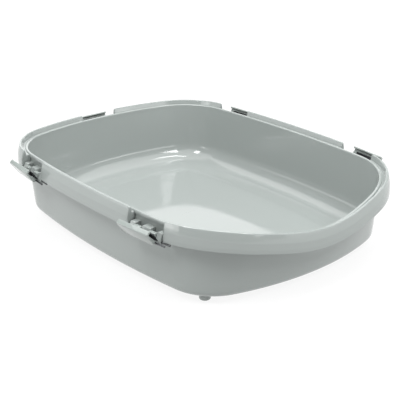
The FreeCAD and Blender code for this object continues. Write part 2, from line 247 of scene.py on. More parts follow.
@dataclass(frozen=True)
class StudioPaper:
    """Matt white paper under the tray, lit faintly from within so that shadows stay soft."""

    name: str = "studio_paper"
    colour: tuple[float, float, float] = (0.07, 0.07, 0.07)
    glow: float = 0.88

    def material(self) -> bpy.types.Material:
        """Build the node material.

        Returns:
            The material.
        """
        sheet = NodeSheet(self.name)
        fibre = sheet.noise(60.0, 2.0)
        paler = tuple(min(1.0, part + 0.01) for part in self.colour)
        sheet.join(sheet.tint(fibre, self.colour, paler), sheet.shader.inputs["Base Color"])
        sheet.shader.inputs["Roughness"].default_value = 0.9
        sheet.shader.inputs["Emission Color"].default_value = (1.0, 1.0, 1.0, 1.0)
        sheet.shader.inputs["Emission Strength"].default_value = self.glow
        return sheet.material


# ---------------------------------------------------------------- workbench


def rounded(corners: Sequence[tuple[float, float, float]], steps: int = 5) -> Section:
    """Round the corners of a closed section.

    Args:
        corners: (across, up, radius) of each corner in order.
        steps: pieces that each rounded corner is cut into.

    Returns:
        The section's points, in the same order.
    """
    points: Section = []
    count = len(corners)
    for index, (across, up, radius) in enumerate(corners):
        corner = Vector((across, up))
        before = Vector(corners[index - 1][:2]) - corner
        after = Vector(corners[(index + 1) % count][:2]) - corner
        if radius <= 0.0:
            points.append((across, up))
            continue
        half = before.angle(after) / 2
        cut = min(radius / math.tan(half), before.length * 0.49, after.length * 0.49)
        true_radius = cut * math.tan(half)
        centre = corner + (before.normalized() + after.normalized()).normalized() * (true_radius / math.sin(half))
        first = corner + before.normalized() * cut - centre
        last = corner + after.normalized() * cut - centre
        start = math.atan2(first.y, first.x)
        turn = (math.atan2(last.y, last.x) - start + math.pi) % (2 * math.pi) - math.pi
        for step in range(steps + 1):
            angle = start + turn * step / steps
            points.append((centre.x + true_radius * math.cos(angle), centre.y + true_radius * math.sin(angle)))
    return points


def arc_points(centre: tuple[float, float], radius: float, start: float, end: float, steps: int) -> Section:
    """Points along an arc of a section.

    Args:
        centre: the arc's centre, (across, up).
        radius: its radius.
        start: first angle, in degrees.
        end: last angle, in degrees.
        steps: pieces to cut it into.

    Returns:
        The points, both ends included.
    """
    angles = [math.radians(start + (end - start) * step / steps) for step in range(steps + 1)]
    return [(centre[0] + radius * math.cos(angle), centre[1] + radius * math.sin(angle)) for angle in angles]


def smooth_step(share: float) -> float:
    """Ease from 0 to 1 with level ends."""
    return share * share * (3.0 - 2.0 * share)


class Bench:
    """Modelling moves that every piece shares."""

    @staticmethod
    def clear() -> None:
        """Leave edit mode and deselect everything."""
        if bpy.context.object is not None and bpy.context.object.mode != "OBJECT":
            bpy.ops.object.mode_set(mode="OBJECT")
        bpy.ops.object.select_all(action="DESELECT")

    @staticmethod
    def pick(piece: bpy.types.Object) -> None:
        """Select one piece and make it active.

        Args:
            piece: the piece to work on.
        """
        Bench.clear()
        piece.select_set(True)
        bpy.context.view_layer.objects.active = piece

    @staticmethod
    def loft(name: str, rings: Sequence[Ring], closed: bool = True) -> bpy.types.Object:
        """Extrude a circle of vertices through rings of points.

        Args:
            name: the new piece's name.
            rings: rings with the same number of points, in millimetres.
            closed: whether the first and last ring are filled.

        Returns:
            The new piece.
        """
        Bench.clear()
        bpy.ops.mesh.primitive_circle_add(vertices=len(rings[0]), radius=1.0, fill_type="NOTHING")
        piece = bpy.context.object
        piece.name = name
        piece.data.name = name
        bpy.ops.object.mode_set(mode="EDIT")
        bpy.ops.mesh.select_mode(type="VERT")
        bpy.ops.mesh.select_all(action="SELECT")
        mesh = bmesh.from_edit_mesh(piece.data)
        station = mesh.verts.layers.int.new("station")
        row = mesh.verts.layers.int.new("row")
        for index, vert in enumerate(mesh.verts):
            vert[station] = index
            vert.co = rings[0][index] * MM
        for number, ring in enumerate(rings[1:], start=1):
            bpy.ops.mesh.extrude_edges_move()
            mesh = bmesh.from_edit_mesh(piece.data)
            station = mesh.verts.layers.int["station"]
            row = mesh.verts.layers.int["row"]
            for vert in mesh.verts:
                if vert.select:
                    vert[row] = number
                    vert.co = ring[vert[station]] * MM
        if closed:
            bpy.ops.mesh.edge_face_add()
            bpy.ops.mesh.select_all(action="DESELECT")
            mesh = bmesh.from_edit_mesh(piece.data)
            row = mesh.verts.layers.int["row"]
            for vert in mesh.verts:
                vert.select = vert[row] == 0
            mesh.select_flush(True)
            bpy.ops.mesh.edge_face_add()
        bpy.ops.mesh.select_all(action="SELECT")
        bpy.ops.mesh.normals_make_consistent(inside=False)
        mesh = bmesh.from_edit_mesh(piece.data)
        mesh.verts.layers.int.remove(mesh.verts.layers.int["station"])
        mesh.verts.layers.int.remove(mesh.verts.layers.int["row"])
        bmesh.update_edit_mesh(piece.data)
        bpy.ops.object.mode_set(mode="OBJECT")
        return piece

    @staticmethod
    def extrusion(name: str, section: Section, start: float, end: float) -> bpy.types.Object:
        """Extrude a section along the clip's own X axis.

        Args:
            name: the new piece's name.
            section: (outward, up) points, in millimetres.
            start: where it begins along the clip.
            end: where it ends.

        Returns:
            The new piece.
        """
        return Bench.loft(name, [[Vector((along, out, up)) for out, up in section] for along in (start, end)])

    @staticmethod
    def soften(piece: bpy.types.Object, width: float, segments: int = 3, angle: float = 30.0) -> None:
        """Round a piece's sharp edges.

        Args:
            piece: what to round.
            width: the rounding's width, in millimetres.
            segments: faces across each rounded edge.
            angle: smallest turn, in degrees, that counts as an edge.
        """
        Bench.pick(piece)
        bpy.ops.object.modifier_add(type="BEVEL")
        rounding = piece.modifiers[-1]
        rounding.width = width * MM
        rounding.segments = segments
        rounding.limit_method = "ANGLE"
        rounding.angle_limit = math.radians(angle)
        rounding.use_clamp_overlap = True
        bpy.ops.object.modifier_apply(modifier=rounding.name)

    @staticmethod
    def bore(piece: bpy.types.Object, radius: float, out: float, up: float, start: float, end: float) -> None:
        """Cut a round hole along the clip.

        Args:
            piece: what to cut.
            radius: the hole's radius, in millimetres.
            out: its axis, outward of the lip.
            up: its axis, above the lip.
            start: where it begins along the clip.
            end: where it ends.
        """
        Bench.clear()
        bpy.ops.mesh.primitive_cylinder_add(vertices=40, radius=radius * MM, depth=(end - start) * MM,
                                            location=Vector(((start + end) / 2, out, up)) * MM,
                                            rotation=(0.0, math.pi / 2, 0.0))
        drill = bpy.context.object
        Bench.cut(piece, drill)

    @staticmethod
    def cut(piece: bpy.types.Object, cutter: bpy.types.Object, operation: str = "DIFFERENCE") -> None:
        """Cut a piece with another, which is used up.

        Args:
            piece: what to cut.
            cutter: the cutting shape.
            operation: the boolean operation's name.
        """
        Bench.pick(piece)
        bpy.ops.object.modifier_add(type="BOOLEAN")
        boolean = piece.modifiers[-1]
        boolean.operation = operation
        boolean.solver = "EXACT"
        boolean.object = cutter
        bpy.ops.object.modifier_apply(modifier=boolean.name)
        bpy.data.objects.remove(cutter)

    @staticmethod
    def join(name: str, pieces: Sequence[bpy.types.Object]) -> bpy.types.Object:
        """Make one object of several.

        Args:
            name: the joined object's name.
            pieces: what to join.

        Returns:
            The joined object.
        """
        Bench.pick(pieces[0])
        for piece in pieces[1:]:
            piece.select_set(True)
        if len(pieces) > 1:
            bpy.ops.object.join()
        whole = bpy.context.object
        whole.name = name
        whole.data.name = name
        return whole

    @staticmethod
    def shade(piece: bpy.types.Object, angle: float = 35.0) -> None:
        """Shade a piece smooth but for edges sharper than an angle in degrees."""
        Bench.pick(piece)
        bpy.ops.object.shade_smooth_by_angle(angle=math.radians(angle))

    @staticmethod
    def settle(piece: bpy.types.Object) -> None:
        """Put a primitive's place and turn into its mesh."""
        Bench.pick(piece)
        bpy.ops.object.transform_apply(location=True, rotation=True, scale=True)

    @staticmethod
    def paint(piece: bpy.types.Object, material: bpy.types.Material) -> None:
        """Give a piece one material."""
        piece.data.materials.clear()
        piece.data.materials.append(material)


# ---------------------------------------------------------------- outlines


@dataclass(frozen=True)
class Outline:
    """Closed plan curve of eight tangent arcs, bulging on all four sides."""

    half_width: float
    half_length: float
    side_bulge: float
    end_bulge: float
    back_radius: float
    front_radius: float

    @property
    def side_radius(self) -> float:
        """Radius of the long sides."""
        return (self.half_length ** 2 + self.side_bulge ** 2) / (2 * self.side_bulge)

    @property
    def end_radius(self) -> float:
        """Radius of the two ends."""
        return (self.half_width ** 2 + self.end_bulge ** 2) / (2 * self.end_bulge)

    def corner(self, radius: float) -> tuple[float, float, float, float]:
        """Find the corner arc that touches a side and an end.

        Args:
            radius: the corner's radius.

        Returns:
            Its centre's x and y, and the angles where it meets the side and the end.
        """
        side_centre = self.half_width - self.side_radius
        end_centre = self.half_length - self.end_radius
        to_side = self.side_radius - radius
        to_end = self.end_radius - radius
        apart = math.hypot(side_centre, end_centre)
        along = (to_side ** 2 - to_end ** 2 + apart ** 2) / (2 * apart)
        across = math.sqrt(to_side ** 2 - along ** 2)
        dx = -side_centre / apart
        dy = end_centre / apart
        x = side_centre + along * dx - across * dy
        y = along * dy + across * dx
        return x, y, math.atan2(y, x - side_centre), math.atan2(y - end_centre, x)

    def arcs(self) -> list[tuple[float, float, float, float, float]]:
        """List the eight arcs anticlockwise from the right side.

        Returns:
            Centre x and y, radius, first and last angle of each.
        """
        side = self.half_width - self.side_radius
        end = self.half_length - self.end_radius
        bx, by, b_side, b_end = self.corner(self.back_radius)
        fx, fy, f_side, f_end = self.corner(self.front_radius)
        half_turn = math.pi
        return [
            (side, 0.0, self.side_radius, -f_side, b_side),
            (bx, by, self.back_radius, b_side, b_end),
            (0.0, end, self.end_radius, b_end, half_turn - b_end),
            (-bx, by, self.back_radius, half_turn - b_end, half_turn - b_side),
            (-side, 0.0, self.side_radius, half_turn - b_side, half_turn + f_side),
            (-fx, -fy, self.front_radius, half_turn + f_side, half_turn + f_end),
            (0.0, -end, self.end_radius, half_turn + f_end, 2 * half_turn - f_end),
            (fx, -fy, self.front_radius, 2 * half_turn - f_end, 2 * half_turn - f_side),
        ]

    def station(self, travel: float) -> tuple[Vector, Vector]:
        """Find a place on the curve.

        Args:
            travel: the arc's number plus the share of its length, counted round from 0 to 8.

        Returns:
            The point and the outward normal there.
        """
        travel %= 8.0
        number = int(travel)
        x, y, radius, start, end = self.arcs()[number]
        angle = start + (end - start) * (travel - number)
        normal = Vector((math.cos(angle), math.sin(angle), 0.0))
        return Vector((x, y, 0.0)) + normal * radius, normal

    def right_travel(self, y: float) -> float:
        """Travel of the place on the right half at a given y, from -1 to 2.

        Args:
            y: the place's y.

        Returns:
            Its travel.
        """
        low, high = -1.0, 2.0
        for _ in range(40):
            middle = (low + high) / 2
            if self.station(middle)[0].y < y:
                low = middle
            else:
                high = middle
        return (low + high) / 2

    def back_travel(self, x: float) -> float:
        """Travel of the place on the back end at a given x, from 2 to 3.

        Args:
            x: the place's x.

        Returns:
            Its travel.
        """
        low, high = 2.0, 3.0
        for _ in range(40):
            middle = (low + high) / 2
            if self.station(middle)[0].x > x:
                low = middle
            else:
                high = middle
        return (low + high) / 2

    def blended(self, other: Outline, share: float) -> Outline:
        """Outline part of the way from this one to another.

        Args:
            other: the outline at share 1.
            share: how far along.

        Returns:
            The outline between them.
        """
        mine = (self.half_width, self.half_length, self.side_bulge, self.end_bulge,
                self.back_radius, self.front_radius)
        theirs = (other.half_width, other.half_length, other.side_bulge, other.end_bulge,
                  other.back_radius, other.front_radius)
        return Outline(*[a + (b - a) * share for a, b in zip(mine, theirs)])


# ---------------------------------------------------------------- clips


@dataclass
class ClipSeat:
    """Where one clip is, in its own axes: clockwise along the notch, outward and up."""

    name: str
    hand: Hand
    hinge: Vector
    along: Vector
    hinge_out: float
    hinge_down: float

    @property
    def out(self) -> Vector:
        """Outward direction."""
        return UP.cross(self.along)

    @property
    def middle(self) -> Vector:
        """Middle of the notch at lip level, in millimetres."""
        return self.hinge / MM - self.out * self.hinge_out + UP * self.hinge_down

    def matrix(self) -> Matrix:
        """Matrix from the clip's own axes to the frame, in metres."""
        axes = Matrix((self.along * self.hand.value, self.out, UP)).transposed().to_4x4()
        return Matrix.Translation(self.middle * MM) @ axes

    def place(self, master: bpy.types.Object, name: str) -> bpy.types.Object:
        """Copy a clip piece onto this seat.

        Args:
            master: the piece in the clip's own axes.
            name: the copy's name.

        Returns:
            The copy, with its own mesh and its object at the origin.
        """
        mesh = master.data.copy()
        mesh.name = name
        mesh.transform(self.matrix())
        if self.hand is Hand.ANTICLOCKWISE:
            mesh.flip_normals()
        copy = bpy.data.objects.new(name, mesh)
        bpy.context.scene.collection.objects.link(copy)
        return copy


@dataclass
class Clip:
    """The four pieces of one clip, modelled once and copied to every seat."""

    notch_length: float = 64.0
    pin_diameter: float = 3.0
    bore_clearance: float = 0.08
    hinge_out: float = 14.2
    hinge_down: float = 24.6
    barrel_radius: float = 3.4
    plate_barrel_radius: float = 2.5
    barrel_clearance: float = 0.6
    middle_knuckle: float = 15.5
    end_knuckle: float = 9.5
    knuckle_gap: float = 0.5
    knuckle_margin: float = 1.0
    knuckle_top: float = 13.0
    knuckle_front: float = 13.0
    lever_gap: float = 2.5
    lever_wall: float = 2.4
    lever_height: float = 22.0
    lever_flange: float = 6.8
    lever_tilt: float = 34.5
    flange_turn: float = 82.0
    lever_corner: float = 5.0
    lever_standoff: float = 3.9
    block_top: float = 14.6
    cheek_wall: float = 2.0
    cheek_width: float = 3.6
    plate_thickness: float = 1.6
    plate_standoff: float = 1.8
    plate_inset: float = 12.0
    plate_overhang: float = 1.5
    plate_height: float = 12.5
    plate_bead: float = 1.3
    plate_lift: float = 4.6
    rib_count: int = 7
    rib_rise: float = 0.5
    hinge_pin_inset: float = 1.5
    hook_pin_inset: float = 5.0
    hinge_pin_overhang: float = 14.0
    hook_pin_overhang: float = 11.0
    wall: float = 3.0

    @property
    def half_notch(self) -> float:
        """Half the notch's length."""
        return self.notch_length / 2

    @property
    def half_lever(self) -> float:
        """Half the lever's length."""
        return self.half_notch - self.lever_gap

    @property
    def hook_out(self) -> float:
        """Hook pin's axis, outward of the lip."""
        return self.hinge_out + self.barrel_radius + self.barrel_clearance + self.plate_barrel_radius

    def knuckle_spans(self) -> list[tuple[float, float]]:
        """Place the tray's three knuckles along the clip.

        Returns:
            Start and end of each, in order.
        """
        edge = self.half_notch - self.knuckle_margin
        half = self.middle_knuckle / 2
        return [(-edge, -edge + self.end_knuckle), (-half, half), (edge - self.end_knuckle, edge)]

    def lever_spans(self) -> list[tuple[float, float]]:
        """Place the lever's two hinge blocks between the knuckles.

        Returns:
            Start and end of each, in order.
        """
        first, middle, last = self.knuckle_spans()
        gap = self.knuckle_gap
        return [(first[1] + gap, middle[0] - gap), (middle[1] + gap, last[0] - gap)]

    def on_panel(self, rise: float, out: float) -> tuple[float, float]:
        """Point given up the lever's panel and outward of its inner face.

        Args:
            rise: distance up the panel from its foot.
            out: distance outward of the inner face.

        Returns:
            (outward, up) in the clip's axes.
        """
        tilt = math.radians(self.lever_tilt)
        foot_out = self.hook_out + self.lever_standoff
        return (foot_out + math.sin(tilt) * rise + math.cos(tilt) * out,
                -self.hinge_down + math.cos(tilt) * rise - math.sin(tilt) * out)

    def pin_bore(self, piece: bpy.types.Object, out: float, start: float, end: float) -> None:
        """Drill a piece for a pin with a running fit."""
        Bench.bore(piece, self.pin_diameter / 2 + self.bore_clearance, out, -self.hinge_down, start - 1, end + 1)

    def tray_knuckle(self, start: float, end: float) -> bpy.types.Object:
        """Model one of the tray's knuckles.

        Args:
            start: where it begins along the clip.
            end: where it ends.

        Returns:
            The knuckle, in the clip's axes.
        """
        barrel = (self.hinge_out, -self.hinge_down)
        low = -self.hinge_down - self.barrel_radius * 0.7 - 4.0
        section: Section = [(self.wall - 2.0, -self.knuckle_top), (self.knuckle_front, -self.knuckle_top)]
        section += arc_points(barrel, self.barrel_radius, 38.0, -98.0, 14)
        section.append((self.wall - 2.0, low))
        block = Bench.extrusion("knuckle", section, start, end)
        Bench.soften(block, 0.55, 3, 40.0)
        self.pin_bore(block, self.hinge_out, start, end)
        return block

    def lever(self) -> bpy.types.Object:
        """Model the lever: a panel with a turned-in flange, cheeks and hinge blocks.

        Returns:
            The lever, in the clip's axes.
        """
        half = self.half_lever
        turn = math.radians(self.flange_turn)
        reach = math.sin(turn) * self.lever_flange
        rise = math.cos(turn) * self.lever_flange
        top = self.lever_height
        wall = self.lever_wall
        corners = [
            (*self.on_panel(0.0, 0.0), 0.9),
            (*self.on_panel(0.0, wall), 1.1),
            (*self.on_panel(top, wall), 1.5),
            (*self.on_panel(top + rise, wall - reach), 0.8),
            (*self.on_panel(top + rise - math.sin(turn) * wall, wall - reach - math.cos(turn) * wall), 0.8),
            (*self.on_panel(top - math.sin(turn) * wall, 0.0), 0.6),
        ]
        panel = Bench.extrusion("lever", rounded(corners, 5), -half, half)
        Bench.cut(panel, self.panel_blank(half), "INTERSECT")
        Bench.soften(panel, 0.7, 3, 50.0)
        parts = [panel]
        cheek = [self.on_panel(1.0, 0.5), self.on_panel(top - wall, 0.5), self.on_panel(3.0, -self.cheek_width)]
        for side in (-1, 1):
            inner = side * (half - self.cheek_wall)
            outer = side * (half - 0.15)
            piece = Bench.extrusion("cheek", cheek, min(inner, outer), max(inner, outer))
            Bench.cut(piece, self.panel_blank(half), "INTERSECT")
            Bench.soften(piece, 0.35, 2, 50.0)
            parts.append(piece)
        radius = self.barrel_radius
        for start, end in self.lever_spans():
            section = arc_points((self.hinge_out, -self.hinge_down), radius, 270.0, 165.0, 9)
            section += [(self.hinge_out - 2.2, -self.block_top), (self.hinge_out + 3.6, -self.block_top),
                        (self.hinge_out + 4.2, -self.hinge_down + radius + 0.4),
                        (self.hook_out + 1.0, -self.hinge_down + radius), self.on_panel(4.2, 0.8),
                        self.on_panel(0.0, 0.8), (self.hook_out + 1.0, -self.hinge_down - radius * 0.8)]
            block = Bench.extrusion("hinge_block", section, start, end)
            Bench.soften(block, 0.4, 2, 40.0)
            self.pin_bore(block, self.hinge_out, start, end)
            self.pin_bore(block, self.hook_out, start, end)
            parts.append(block)
        return Bench.join("lever", parts)

    def panel_blank(self, half: float) -> bpy.types.Object:
        """Model the block that rounds the lever's lower corners.

        Args:
            half: half the lever's length.

        Returns:
            A prism square to the lever's panel.
        """
        corners = [(-half, 30.0, 0.0), (-half, 0.0, self.lever_corner), (half, 0.0, self.lever_corner),
                   (half, 30.0, 0.0)]
        outline = rounded(corners, 8)
        rings = []
        for depth in (-20.0, 20.0):
            ring = []
            for along, rise in outline:
                out, up = self.on_panel(rise - 0.01, depth)
                ring.append(Vector((along, out, up)))
            rings.append(ring)
        return Bench.loft("blank", rings)

    def hook_plate(self) -> bpy.types.Object:
        """Model the steel hook plate: a ribbed strip with a rolled edge, on a rolled barrel.

        Returns:
            The plate, in the clip's axes.
        """
        tilt = math.radians(self.lever_tilt)

        def at(rise: float, out: float) -> tuple[float, float]:
            """Point up the plate from the hook pin's axis and outward of it."""
            return (self.hook_out + math.sin(tilt) * rise + math.cos(tilt) * out,
                    -self.hinge_down + math.cos(tilt) * rise - math.sin(tilt) * out)

        half = self.plate_thickness / 2
        inner, outer = -self.plate_standoff - half, -self.plate_standoff + half
        low, top = self.plate_lift, self.plate_lift + self.plate_height
        start, end = self.plate_inset - self.half_lever, self.half_lever + self.plate_overhang
        strip = Bench.extrusion("hook_plate", [at(low, inner), at(low, outer), at(top, outer), at(top, inner)],
                                start, end)
        Bench.soften(strip, 0.35, 2, 50.0)
        parts = [strip]
        bead = Bench.extrusion("bead", arc_points(at(top, -self.plate_standoff), self.plate_bead, 0.0, 337.5, 15),
                               start, end)
        Bench.soften(bead, 0.3, 2, 60.0)
        parts.append(bead)
        rib_low, rib_top = low + 1.6, top - 1.6
        rib_face = outer + self.rib_rise
        pitch = (end - start) / self.rib_count
        rib_section = [at(rib_low - 0.6, outer - 0.3), at(rib_low, rib_face), at(rib_top, rib_face),
                       at(rib_top + 0.6, outer - 0.3)]
        for index in range(self.rib_count):
            middle = start + pitch * (index + 0.5)
            rib = Bench.extrusion("rib", rib_section, middle - pitch * 0.2, middle + pitch * 0.2)
            Bench.soften(rib, 0.3, 2, 40.0)
            parts.append(rib)
        neck_half = self.middle_knuckle / 2 - self.knuckle_gap
        neck = Bench.extrusion("neck", [at(0.5, inner), at(0.5, outer), at(low + 1, outer), at(low + 1, inner)],
                               -neck_half, neck_half)
        barrel = Bench.extrusion("barrel", arc_points((self.hook_out, -self.hinge_down), self.plate_barrel_radius,
                                                      0.0, 348.75, 31), -neck_half, neck_half)
        for piece in (neck, barrel):
            self.pin_bore(piece, self.hook_out, -neck_half, neck_half)
            parts.append(piece)
        return Bench.join("hook_plate", parts)

    def pin(self, out: float, start: float, end: float) -> bpy.types.Object:
        """Model a steel pin with eased ends.

        Args:
            out: its axis, outward of the lip.
            start: where it begins along the clip.
            end: where it ends.

        Returns:
            The pin, in the clip's axes.
        """
        centre = (out, -self.hinge_down)
        radius = self.pin_diameter / 2
        bar = Bench.extrusion("pin", arc_points(centre, radius, 0.0, 348.75, 31), start, end)
        Bench.soften(bar, 0.4, 3, 60.0)
        return bar

    def build(self, seats: Iterable[ClipSeat], plastic: bpy.types.Material, steel: bpy.types.Material,
              wire: bpy.types.Material) -> None:
        """Model the pieces once, then copy and dress them at every seat.

        Args:
            seats: where the clips are.
            plastic: the levers' material.
            steel: the hook plates' material.
            wire: the pins' material.
        """
        masters = {
            "lever": (self.lever(), plastic, Slot.CLIP, "_arm"),
            "hook_plate": (self.hook_plate(), steel, Slot.HOOK, "_hook"),
            "hinge_pin": (self.pin(self.hinge_out, self.hinge_pin_inset - self.half_notch,
                                   self.half_notch + self.hinge_pin_overhang), wire, Slot.PIN, None),
            "hook_pin": (self.pin(self.hook_out, self.hook_pin_inset - self.half_lever,
                                  self.half_notch + self.hook_pin_overhang), wire, Slot.PIN, "_arm"),
        }
        for seat in seats:
            for ending, (master, material, slot, body) in masters.items():
                node = f"{seat.name}_{ending}"
                piece = seat.place(master, f"{node}_dressed")
                Bench.shade(piece)
                Bench.paint(piece, material)
                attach(piece, "tub" if body is None else seat.name + body)
                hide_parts(node)
                log.info("%s: %d faces", piece.name, len(piece.data.polygons))
        for master, *_ in masters.values():
            bpy.data.objects.remove(master)


# ---------------------------------------------------------------- tray


@dataclass
class Tray:
    """The moulded tub with its folded rim, knuckles and feet."""

    clip: Clip
    middle: Vector = field(default_factory=Vector)
    mouth: Outline = Outline(197.5, 264.0, 19.0, 41.0, 88.0, 111.0)
    base: Outline = Outline(191.0, 251.0, 23.0, 44.0, 65.0, 73.0)
    foot_height: float = 10.0
    rim_height: float = 103.0
    entrance_dip: float = 28.0
    wall: float = 3.0
    floor: float = 3.0
    outer_edge: float = 11.0
    floor_corner: float = 30.0
    floor_step: float = 0.8
    floor_step_inset: float = 22.0
    floor_step_run: float = 14.0
    lip_width: float = 4.6
    groove_start: float = 4.8
    groove_depth: float = 2.2
    crest_start: float = 9.2
    rim_width: float = 15.5
    crest_height: float = 6.0
    plate: float = 3.0
    skirt_reach: float = 17.3
    skirt_drop: float = 22.0
    skirt_wall: float = 2.4
    end_wall: float = 2.5
    front_notch: float = -140.5
    back_notch: float = 145.0
    foot_radius: float = 8.0
    foot_rounding: float = 2.5

    @property
    def lip_level(self) -> float:
        """Height of the lip at the back and sides."""
        return self.foot_height + self.rim_height

    def lip_at(self, point: Vector) -> float:
        """Work out the lip's height, which dips at the entrance.

        Args:
            point: place on the mouth's outline.

        Returns:
            Height above the ground.
        """
        if point.y >= 0:
            return self.lip_level
        across = min(abs(point.x) / self.mouth.half_width, 1.0)
        return self.lip_level - self.entrance_dip * math.cos(across * math.pi / 2) ** 2

    def travels(self) -> list[float]:
        """Places round the tub where its rings have points."""
        counts = (44, 26, 34, 26, 44, 30, 36, 30)
        return [arc + step / count for arc, count in enumerate(counts) for step in range(count)]

    def flat_ring(self, outline: Outline, offset: float, height: float) -> Ring:
        """Level ring of points.

        Args:
            outline: its plan.
            offset: how far outward of the plan.
            height: above the ground.

        Returns:
            The ring.
        """
        ring = []
        for travel in self.travels():
            point, normal = outline.station(travel)
            ring.append(point + normal * offset + UP * height + self.middle)
        return ring

    def rim_ring(self, offset: float, above_lip: float) -> Ring:
        """Ring that follows the lip.

        Args:
            offset: outward of the lip's inner edge.
            above_lip: above the lip.

        Returns:
            The ring.
        """
        ring = []
        for travel in self.travels():
            point, normal = self.mouth.station(travel)
            ring.append(point + normal * offset + UP * (self.lip_at(point) + above_lip) + self.middle)
        return ring

    @staticmethod
    def between(first: Ring, last: Ring, count: int) -> list[Ring]:
        """Rings spaced evenly between two others, which aren't included."""
        return [[a.lerp(b, step / (count + 1)) for a, b in zip(first, last)] for step in range(1, count + 1)]

    def shell(self) -> bpy.types.Object:
        """Model the base, walls and lip as one closed skin.

        Returns:
            The shell.
        """
        def wall_at(height: float) -> Outline:
            """Plan of the inner wall at a height above the base."""
            return self.base.blended(self.mouth, height / self.rim_height)

        rings: list[Ring] = []
        steps = 8
        under = self.flat_ring(wall_at(0.0), self.wall - self.outer_edge, self.foot_height)
        centre = sum(under, Vector()) / len(under)
        rings += [[centre.lerp(point, share) for point in under] for share in (0.15, 0.6)]
        for step in range(steps + 1):
            angle = math.pi / 2 * step / steps
            rise = self.outer_edge * (1 - math.cos(angle))
            inset = self.outer_edge * (1 - math.sin(angle))
            rings.append(self.flat_ring(wall_at(rise), self.wall - inset, self.foot_height + rise))
        collar = self.rim_ring(self.wall, -self.plate - self.groove_depth - 1.2)
        rings += self.between(rings[-1], collar, 6)
        lip = self.lip_width
        under_lip = -self.plate - self.groove_depth
        profile = [(self.wall, under_lip - 1.2), (self.wall + 0.15, under_lip - 0.5),
                   (self.wall + 0.5, under_lip - 0.1), (lip - 0.5, under_lip),
                   (lip - 0.1, under_lip + 0.2), (lip, under_lip + 0.6),
                   (lip, -2.0), (lip - 0.15, -1.2), (lip - 0.55, -0.6), (lip - 1.1, -0.2), (lip - 1.7, -0.03),
                   (lip * 0.5, 0.0), (1.7, -0.03), (1.1, -0.2), (0.6, -0.55), (0.2, -1.1),
                   (0.03, -1.8), (0.0, -2.6)]
        rings += [self.rim_ring(offset, above) for offset, above in profile]
        top_of_curve = self.floor + self.floor_corner
        curve_start = self.flat_ring(wall_at(top_of_curve), 0.0, self.foot_height + top_of_curve)
        rings += self.between(rings[-1], curve_start, 6)
        steps = 14
        for step in range(steps + 1):
            angle = math.pi / 2 * (1 - step / steps)
            height = self.floor + self.floor_corner * (1 - math.cos(angle))
            inset = self.floor_corner * (1 - math.sin(angle))
            rings.append(self.flat_ring(wall_at(height), -inset, self.foot_height + height))
        edge = -self.floor_corner - self.floor_step_inset
        steps = 8
        for step in range(steps + 1):
            share = step / steps
            rings.append(self.flat_ring(wall_at(self.floor), edge - self.floor_step_run * share,
                                        self.foot_height + self.floor + self.floor_step * smooth_step(share)))
        plateau = rings[-1]
        centre = sum(plateau, Vector()) / len(plateau)
        rings += [[centre.lerp(point, share) for point in plateau] for share in (0.85, 0.65, 0.4, 0.15)]
        return Bench.loft("tub_shell", rings)

    def rim_sections(self) -> tuple[Section, Section]:
        """Sections of the folded rim: hollow, and filled for its end walls.

        Returns:
            Two lists with the same number of (outward, above the lip) points.
        """
        under = -self.plate - self.groove_depth
        inner = self.skirt_reach - self.skirt_wall
        steps = 5
        outside = [
            (self.groove_start - 1.0, -self.groove_depth, 0.0),
            (self.crest_start - 0.5, -self.groove_depth, 0.8),
            (self.crest_start + 1.2, self.crest_height, 2.6),
            (self.rim_width - 2.0, self.crest_height, 2.6),
            (self.skirt_reach - 0.8, -7.0, 12.0),
            (self.skirt_reach - 0.1, -16.0, 10.0),
            (self.skirt_reach, -self.skirt_drop, 0.8),
        ]
        hollow = [(inner, -self.skirt_drop, 0.8), (self.rim_width - self.skirt_wall - 1.2, under, 1.5),
                  (self.wall - 1.0, under, 0.0)]
        filled = [(inner, -self.skirt_drop, 0.8), (self.wall + 1.0, -self.skirt_drop, 0.4),
                  (self.wall - 1.0, -self.skirt_drop, 0.0)]
        return rounded(outside + hollow, steps), rounded(outside + filled, steps)

    def rim_segment(self, name: str, start: float, end: float) -> bpy.types.Object:
        """Model the folded rim between two notches.

        Args:
            name: the segment's name.
            start: travel of its first end.
            end: travel of its last end.

        Returns:
            The segment.
        """
        hollow, filled = self.rim_sections()
        span = end - start
        length = sum((self.mouth.station(start + span * (i + 1) / 200)[0]
                      - self.mouth.station(start + span * i / 200)[0]).length for i in range(200))
        count = max(8, int(length / 5.0))
        easing = 2.3
        places: list[tuple[float, Section, float]] = []
        for angle in (0.0, 22.5, 45.0, 67.5, 90.0):
            turn = math.radians(angle)
            places.append((easing * (1 - math.sin(turn)), filled, easing * (1 - math.cos(turn))))
        places.reverse()
        first = [(distance, section, inset) for distance, section, inset in places]
        first += [(self.end_wall, filled, 0.0), (self.end_wall + 0.02, hollow, 0.0)]
        stops = [(distance / length, section, inset) for distance, section, inset in first]
        edge = self.end_wall / length
        inner = [(edge + (1 - 2 * edge) * step / count, hollow, 0.0) for step in range(1, count)]
        stops += inner + [(1 - share, section, inset) for share, section, inset in reversed(stops)]
        centre = Vector(((self.wall + self.skirt_reach) / 2, -self.skirt_drop / 2))
        rings = []
        for share, section, inset in stops:
            point, normal = self.mouth.station(start + span * share)
            level = self.lip_at(point)
            ring = []
            for out, up in section:
                if inset and out > self.groove_start:
                    pull = (centre - Vector((out, up))).normalized() * inset
                    out, up = out + pull.x, up + pull.y
                ring.append(point + normal * out + UP * (level + up) + self.middle)
            rings.append(ring)
        return Bench.loft(name, rings)

